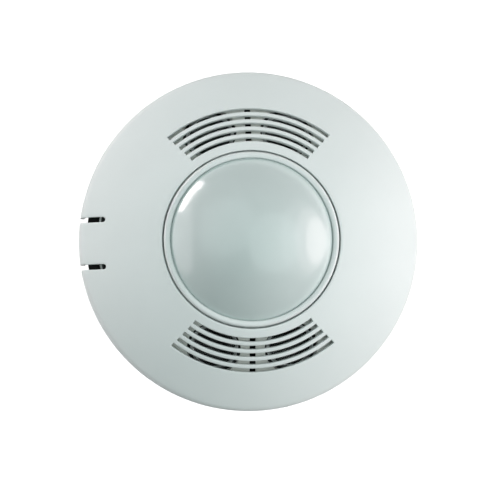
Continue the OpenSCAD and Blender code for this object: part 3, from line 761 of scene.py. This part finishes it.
def arc_blocks(name, blocks, steps=8):
    """Arc-shaped blocks as one closed mesh."""
    points, faces = [], []
    for r_in, r_out, low, high, middle, span in blocks:
        first = len(points)
        for k in range(steps + 1):
            turn = math.radians(middle + span * (k / steps - 0.5))
            for r, z in ((r_in, low), (r_out, low), (r_out, high), (r_in, high)):
                points.append((r * math.cos(turn), r * math.sin(turn), z))
        for k in range(steps):
            a = first + 4 * k
            faces += [(a + e, a + (e + 1) % 4, a + 4 + (e + 1) % 4, a + 4 + e) for e in range(4)]
        last = first + 4 * steps
        faces += [(first, first + 3, first + 2, first + 1), (last, last + 1, last + 2, last + 3)]
    mesh = plain_mesh(name, points, faces)
    face_out(mesh)
    return link(name, mesh)


def make_lens_and_ring():
    """The lens with windows for the claws, the ring, and the ring's four hooked claws."""
    lens = turned("lens_dome", lens_section(), False, 14.0, "lens_plastic", 180, 30)
    cut_windows(lens, "lens_cutter", [
        (27.2, 30, SHELF_TOP - 1, SHELF_TOP + 2, at, CLAW_SPAN + 2) for at in CLAWS])
    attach(lens, "cover")
    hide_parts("lens")
    ring = turned("trim_ring", ring_section(), True, 28.0, "ring_plastic", 180, 40)
    claws = arc_blocks("ring_claws", [
        block for at in CLAWS
        for block in ((27.6, 28.6, 17.2, SHELF_TOP + LENS_FLANGE_T + 0.3, at, CLAW_SPAN),
                      (28.5, 29.4, 17.2, SHELF_LOW - 0.1, at, CLAW_SPAN))])
    claws.data.materials.append(FINISHES["ring_plastic"])
    for piece in (ring, claws):
        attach(piece, "cover")
    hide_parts("lens_ring")


# ---------- small parts inside ----------


def repeated(name, shape, spots, finish):
    """The shape set out on the spots as one piece on the base; the shape itself is removed."""
    piece = grow(name, points_mesh(name, spots), REPEATS, Shape=shape, Finish=FINISHES[finish])
    bpy.data.objects.remove(shape)
    piece.data.shade_smooth()
    piece.data.set_sharp_from_angle(angle=math.radians(35))
    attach(piece, "base")
    return piece


# rows of small chips, each x, y of the first, how many and how far apart along Y
CHIP_ROWS = ((-7.8, 5.6, 3, 2.6), (7.8, -5, 5, 2.6), (12.5, -8, 7, 2.6), (26, -3, 3, 2.8),
             (-24.6, -3.6, 4, 2.5), (-12.6, -8, 2, 2.6), (41.5, 9, 3, 2.6), (41.5, -14, 3, 2.6))
CHIP_END_X = 0.8
TRIMMER_X, TRIMMERS_Y, TRIMMER_PIN_X, TRIMMER_PINS_Y = 20, (8, 0, -8), 4.4, (-2, 2)
SWITCH_PINS_X, SWITCH_Y, SWITCH_PINS, SWITCH_PITCH = (27, 38), 15.5, 6, 2.54
HEADER_Y, HEADER_PINS, HEADER_PITCH = 18.6, 4, 1.9
TERMINAL_X, TERMINAL_Y, TERMINALS, TERMINAL_PITCH = -26.9, 14.5, 5, 3.81
VIAS = ((3, -5), (4.6, -8.8), (-3.4, -6.4), (-1, -14), (2.4, -15.5), (16.4, 12.6), (5.4, 7.4),
        (-4.4, 8.8), (-6, -2.4), (-13.8, 4.6), (-21.6, 6.2), (-28.6, 0.4), (-31, -5), (30.4, 3.4),
        (30.4, -3.6), (33.2, 0.6), (15.2, -12.8), (20.4, -13.4), (21.6, 13.6), (-22.4, -7.6),
        (-14.2, -19.6), (5.2, -20.8), (-6.4, 20.4), (7.4, 21.6), (36, 5.2), (-36.5, 5.6),
        (-40.8, -9.4), (40.4, 5))
TRACK_WIDTH, TRACK_HEIGHT = 0.34, 0.06
TRANSDUCERS = ((1, 1), (1, -1), (-1, 1), (-1, -1))  # side of the unit and hand, in number order
CAPACITORS = ((-15, 9.6, 3.15, 7), (-10, 17.2, 3.15, 7), (-19.5, -13, 4, 8))  # x, y, r, height
ONE = (1, 1, 1)


def spaced(count, pitch, middle=0.0):
    """Places in a row about its middle."""
    return [middle + (k - (count - 1) / 2) * pitch for k in range(count)]


def make_chip_ends():
    """Tinned ends on the small chips, with their solder."""
    side = ((-0.42, 0), (0.02, 0), (0.02, 0.63), (-0.12, 0.63), (-0.14, 0.3))
    points = [(x, y, z) for y in (-0.66, 0.66) for x, z in side]
    faces = [(0, 1, 2, 3, 4), (9, 8, 7, 6, 5)]
    faces += [(i, i + 5, (i + 1) % 5 + 5, (i + 1) % 5) for i in range(5)]
    shape = link("chip_end_shape", plain_mesh("chip_end_shape", points, faces))
    face_out(shape.data)
    spots = [(x + s * CHIP_END_X, y + k * step, BOARD_TOP, 0 if s < 0 else 180, ONE)
             for x, y, count, step in CHIP_ROWS for k in range(count) for s in (-1, 1)]
    repeated("chip_ends", shape, spots, "solder")


def make_solder_pads():
    """Domed joints where pins and screws of larger parts meet the board."""
    profile = [(0, 0.34), (0.22, 0.32), (0.4, 0.2), (0.62, 0.07), (0.85, 0.03), (0.85, 0)]
    shape = turned("joint_shape", profile, False, 0.5, "solder", 14, 50)
    spots = []
    for y in TRIMMERS_Y:
        spots += [(TRIMMER_X - TRIMMER_PIN_X, y + dy, BOARD_TOP, 0, ONE) for dy in TRIMMER_PINS_Y]
        spots.append((TRIMMER_X + TRIMMER_PIN_X, y, BOARD_TOP, 0, ONE))
    for side in (1, -1):
        spots += [(x, y, BOARD_TOP, 0, (0.7, 0.7, 1)) for x in SWITCH_PINS_X
                  for y in spaced(SWITCH_PINS, SWITCH_PITCH, side * SWITCH_Y)]
        spots += [(x, side * HEADER_Y, BOARD_TOP, 0, (0.75, 0.75, 1))
                  for x in spaced(HEADER_PINS, HEADER_PITCH)]
    spots += [(TERMINAL_X, y, BOARD_TOP, 0, (0.7, 0.7, 0.9))
              for y in spaced(TERMINALS, TERMINAL_PITCH, TERMINAL_Y)]
    repeated("solder_joints", shape, spots, "solder")


def make_vias():
    """Plated holes beside the tracks."""
    profile = [(0.16, 0.0), (0.16, 0.06), (0.4, 0.05), (0.42, 0.0)]
    shape = turned("via_shape", profile, False, 0.3, "solder", 10, 40)
    spots = [(x, y, BOARD_TOP, 0, ONE) for x, y in VIAS]
    repeated("vias", shape, spots, "solder")


def track_routes():
    """Copper runs on the board, each a list of (x, y)."""
    routes = []
    for k in range(6):
        y = -5.4 + 1.1 * k
        far_y = y + 2.2 - 0.5 * k
        routes.append([(9.6, y), (11.2 + 0.35 * k, y), (14.6, far_y), (15.6, far_y)])
        x, bend, end = 29.2 + 0.3 * k, 1.5 if k > 2 else -1.5, 6.4 if k > 2 else -6.2
        routes.append([(24.6, y + 0.6), (x - 1.8, y + 0.6), (x, y + bend), (x, end)])
    for k in range(5):
        x, y = -13.8 + 0.9 * k, 5.8 + 0.3 * k
        routes.append([(x, 4.6), (x, y), (x + 2.4, y + 2.4), (x + 2.4, y + 3.1)])
        x, y = -20.6 + 1.1 * k, -6.6 - 0.3 * k
        routes.append([(x, -4.9), (x, y), (x - 1.8, y - 1.8)])
        y = -6.0 - k
        routes.append([(-6.6, y), (-2.6, y), (0.6, y - 3.2), (1.6, y - 3.2)])
        x, y = 14.9 + 0.5 * k, -12.6 + 0.2 * k
        routes.append([(x, -13.6), (x, y), (x + 2.1, y + 0.8)])
    beside_headers = (
        ((-2.8, 18.8), (-2.8, 15.6), (2.2, 10.6), (5.6, 10.6)),
        ((-0.9, 18.8), (-0.9, 16.4), (3.2, 12.3), (6.6, 12.3)),
        ((4.4, 22), (6.4, 20), (7.6, 20)))
    for side in (1, -1):
        routes += [[(x, side * y) for x, y in route] for route in beside_headers]
    routes.append([(-27, 3.2), (-24, 3.2), (-22, 5.2), (-22, 6.6)])
    routes.append([(-27.5, -23.6), (-24.5, -20.6), (-24.5, -9.6)])
    routes.append([(39.6, 16.4), (39.6, 20), (36.8, 24.9), (30, 28)])
    routes.append([(38.8, -17), (39.8, -18), (39.8, -20), (36.8, -25.2)])
    return routes


def make_tracks():
    """The copper runs, under the solder mask."""
    points, edges = [], []
    for route in track_routes():
        first = len(points)
        points += [(x, y, BOARD_TOP) for x, y in route]
        edges += [(first + i, first + i + 1) for i in range(len(route) - 1)]
    seed = plain_mesh("tracks", points, edges=edges)
    piece = grow("board_tracks", seed, PATHS, Width=TRACK_WIDTH * MM, Height=TRACK_HEIGHT * MM,
                 Sides=6, Finish=FINISHES["track"])
    piece.data.shade_smooth()
    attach(piece, "base")


def transducer_matrix(side, hand, along):
    """Places a shape made in XY on a transducer's axis, this far along from the dome's centre."""
    turn = Matrix.Rotation(math.radians(side * 90 - hand * MOUTH_ANGLE), 4, "Z")
    return (Matrix.Translation((0, 0, DOME_C * MM)) @ turn @ Matrix.Rotation(TILT, 4, "Y")
            @ Matrix.Translation((0, 0, along * MM)))


def make_screens():
    """A woven screen and a rolled lip in the mouth of each transducer."""
    roll = [(LIP_R + LIP_WIRE * math.cos(t), LIP_WIRE * math.sin(t))
            for t in np.linspace(0, 2 * math.pi, 11)[:-1]]
    for number, (side, hand) in enumerate(TRANSDUCERS, 1):
        screen = grow(f"transducer_screen_{number}", plain_mesh("seed", [(0, 0, 0)]), SCREEN,
                      Radius=SCREEN_R * MM, Pitch=SCREEN_PITCH * MM, Wire=SCREEN_WIRE * MM,
                      Finish=FINISHES["screen_wire"])
        lip = turned(f"transducer_lip_{number}", roll, True, LIP_R, "aluminium_can", 48, 60)
        for piece, along in ((screen, CAN_HIGH - SCREEN_LOW), (lip, CAN_HIGH - LIP_WIRE)):
            piece.data.transform(transducer_matrix(side, hand, along))
            piece.data.shade_smooth()
            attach(piece, "base")


def make_capacitor_tops():
    """Bare aluminium tops with a pressed rim, and a pale band down each sleeve."""
    for number, (x, y, r, h) in enumerate(CAPACITORS, 1):
        profile = [(0, -0.05), (r - 1.0, -0.05), (r - 0.75, -0.02), (r - 0.55, 0.0),
                   (r - 0.55, -0.3), (0, -0.3)]
        top = turned(f"capacitor_top_{number}", profile, False, 1.0, "aluminium_can", 40, 60)
        top.data.transform(Matrix.Translation((x * MM, y * MM, (BOARD_TOP + h + 0.06) * MM)))
        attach(top, "base")
        band = arc_blocks(f"capacitor_band_{number}", [
            (r - 0.2, r + 0.03, BOARD_TOP + 1.5, BOARD_TOP + h - 0.2, 120, 50)])
        band.data.transform(Matrix.Translation((x * MM, y * MM, 0)))
        band.data.materials.append(FINISHES["ink"])
        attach(band, "base")


# ---------- finishes and edges of the CAD nodes that stay ----------


# bevel widths of the boxy nodes
SOFTENED = {
    "relay": 0.3, "terminal_block": 0.25, "transducer_headers": 0.15, "crystal": 0.3,
    **{f"dip_switch_{s}": 0.12 for s in "ab"},
    **{f"slider_{s}{i}": 0.15 for s in "ab" for i in range(1, 7)},
    **{f"trimmer_{i}": 0.2 for i in (1, 2, 3)},
}


def dress_nodes():
    """Gives every CAD node the finish of its record slot, and bevels the boxy ones."""
    slots = {part["node"]: part["material_slot"] for part in frame["record"]["subparts"]}
    for name, node in NODES.items():
        finish = FINISHES[slots[name]]
        if not node.material_slots:
            node.data.materials.append(finish)
        for place in node.material_slots:
            place.material = finish
    for name, width in SOFTENED.items():
        weld = NODES[name].modifiers.new("weld", "WELD")
        weld.merge_threshold = MERGE
        bevel = NODES[name].modifiers.new("edges", "BEVEL")
        bevel.width, bevel.segments = width * MM, 2
        bevel.limit_method, bevel.angle_limit = "ANGLE", math.radians(50)
        bevel.harden_normals = True


# ---------- camera, floor and lights ----------

AIM = Vector((0.61, -2.76, 5.0)) * MM
CAMERA_LEAN = (-0.066, -0.042, 1.0)
CAMERA_ROLL = math.radians(1.15)
CAMERA_DISTANCE, CAMERA_NEAR = 1.1, 0.01
CAMERA_LENS, CAMERA_SENSOR = 234.3, 36.0  # mm
FLOOR_HALF, FLOOR_Z, FLOOR_GLOW = 3.0, -0.0002, 1.0
LIGHTS_CENTRE = Vector((0, 0, 0.01))
WORLD_COLOR, WORLD_STRENGTH = (0.90, 1.0, 0.98, 1), 0.01


def make_camera():
    """Looks at the part from nearly straight in front."""
    back = Vector(CAMERA_LEAN).normalized()
    right = Vector((math.sin(CAMERA_ROLL), math.cos(CAMERA_ROLL), 0)).cross(back).normalized()
    up = back.cross(right)
    camera = bpy.data.cameras.new("camera")
    camera.lens, camera.sensor_width = CAMERA_LENS, CAMERA_SENSOR
    camera.clip_start = CAMERA_NEAR
    eye = bpy.data.objects.new("camera", camera)
    spot = AIM + back * CAMERA_DISTANCE
    eye.matrix_world = Matrix.Translation(spot) @ Matrix((right, up, back)).transposed().to_4x4()
    bpy.context.scene.collection.objects.link(eye)
    bpy.context.scene.camera = eye


def make_floor():
    """A white floor that glows, so that it shows no shadow. Only reflections pick it up: as a
    light it would wash out the part's shading."""
    corners = ((-1, -1), (1, -1), (1, 1), (-1, 1))
    mesh = bpy.data.meshes.new("floor")
    mesh.from_pydata([(x * FLOOR_HALF, y * FLOOR_HALF, FLOOR_Z) for x, y in corners],
                     [], [(0, 1, 2, 3)])
    floor = link("floor", mesh)
    finish, tree, shader = start_finish("floor paper", (0.9, 0.9, 0.9), 0.9, specular=0.1)
    tint(tree, shader, noise(tree, 40.0, 3), (0.89, 0.89, 0.89), (0.92, 0.92, 0.92))
    shader.inputs["Emission Color"].default_value = (1, 1, 1, 1)
    shader.inputs["Emission Strength"].default_value = FLOOR_GLOW
    mesh.materials.append(finish)
    floor.visible_diffuse = False


# each panel: shape, azimuth, elevation, distance, width, height, power in W, colour
PANELS = {
    "right_inner_panel": ("ELLIPSE", 0, 12, 1.0, 0.7, 0.42, 2.5, (1.0, 0.87, 0.87)),
    "right_middle_panel": ("ELLIPSE", 0, 18, 1.02, 1.1, 0.66, 2.9, (1.0, 0.89, 0.90)),
    "right_outer_panel": ("ELLIPSE", 0, 27, 1.05, 1.6, 1.05, 2.6, (0.96, 0.96, 1.0)),
    "overhead_right_panel": ("ELLIPSE", 352, 62, 1.0, 1.4, 1.2, 5.2, (0.87, 1.0, 0.985)),
    "overhead_left_panel": ("ELLIPSE", 150, 58, 1.0, 1.4, 1.2, 3.3, (0.88, 1.0, 0.99)),
    "low_left_panel": ("ELLIPSE", 178, 12, 1.0, 1.1, 0.4, 2.2, (1.0, 0.96, 0.98)),
    "bottom_panel": ("ELLIPSE", 278, 20, 1.0, 1.5, 0.6, 0.8, (0.86, 1.0, 0.98)),
    "edge_panel": ("RECTANGLE", 140, 3.6, 0.8, 0.4, 0.095, 2.6, (1.0, 0.92, 0.93)),
}


def make_lights():
    """The panels, turned towards the part, in a nearly dark room."""
    for name, (form, azimuth, elevation, distance, width, height, power, color) in PANELS.items():
        a, e = math.radians(azimuth), math.radians(elevation)
        back = Vector((math.cos(e) * math.cos(a), math.cos(e) * math.sin(a), math.sin(e)))
        light = bpy.data.lights.new(name, "AREA")
        light.shape, light.size, light.size_y = form, width, height
        light.energy, light.color = power, color
        lamp = bpy.data.objects.new(name, light)
        right = Vector((0, 0, 1)).cross(back).normalized()
        turn = Matrix((right, back.cross(right), back)).transposed().to_4x4()
        lamp.matrix_world = Matrix.Translation(LIGHTS_CENTRE + back * distance) @ turn
        bpy.context.scene.collection.objects.link(lamp)
    world = bpy.data.worlds.new("studio")
    world.use_nodes = True
    sky = world.node_tree.nodes["Background"]
    sky.inputs["Color"].default_value = WORLD_COLOR
    sky.inputs["Strength"].default_value = WORLD_STRENGTH
    bpy.context.scene.world = world
    bpy.context.scene.view_settings.view_transform = "Standard"


make_cover()
make_lens_and_ring()
make_chip_ends()
make_solder_pads()
make_vias()
make_tracks()
make_screens()
make_capacitor_tops()
dress_nodes()
make_floor()
make_camera()
make_lights()
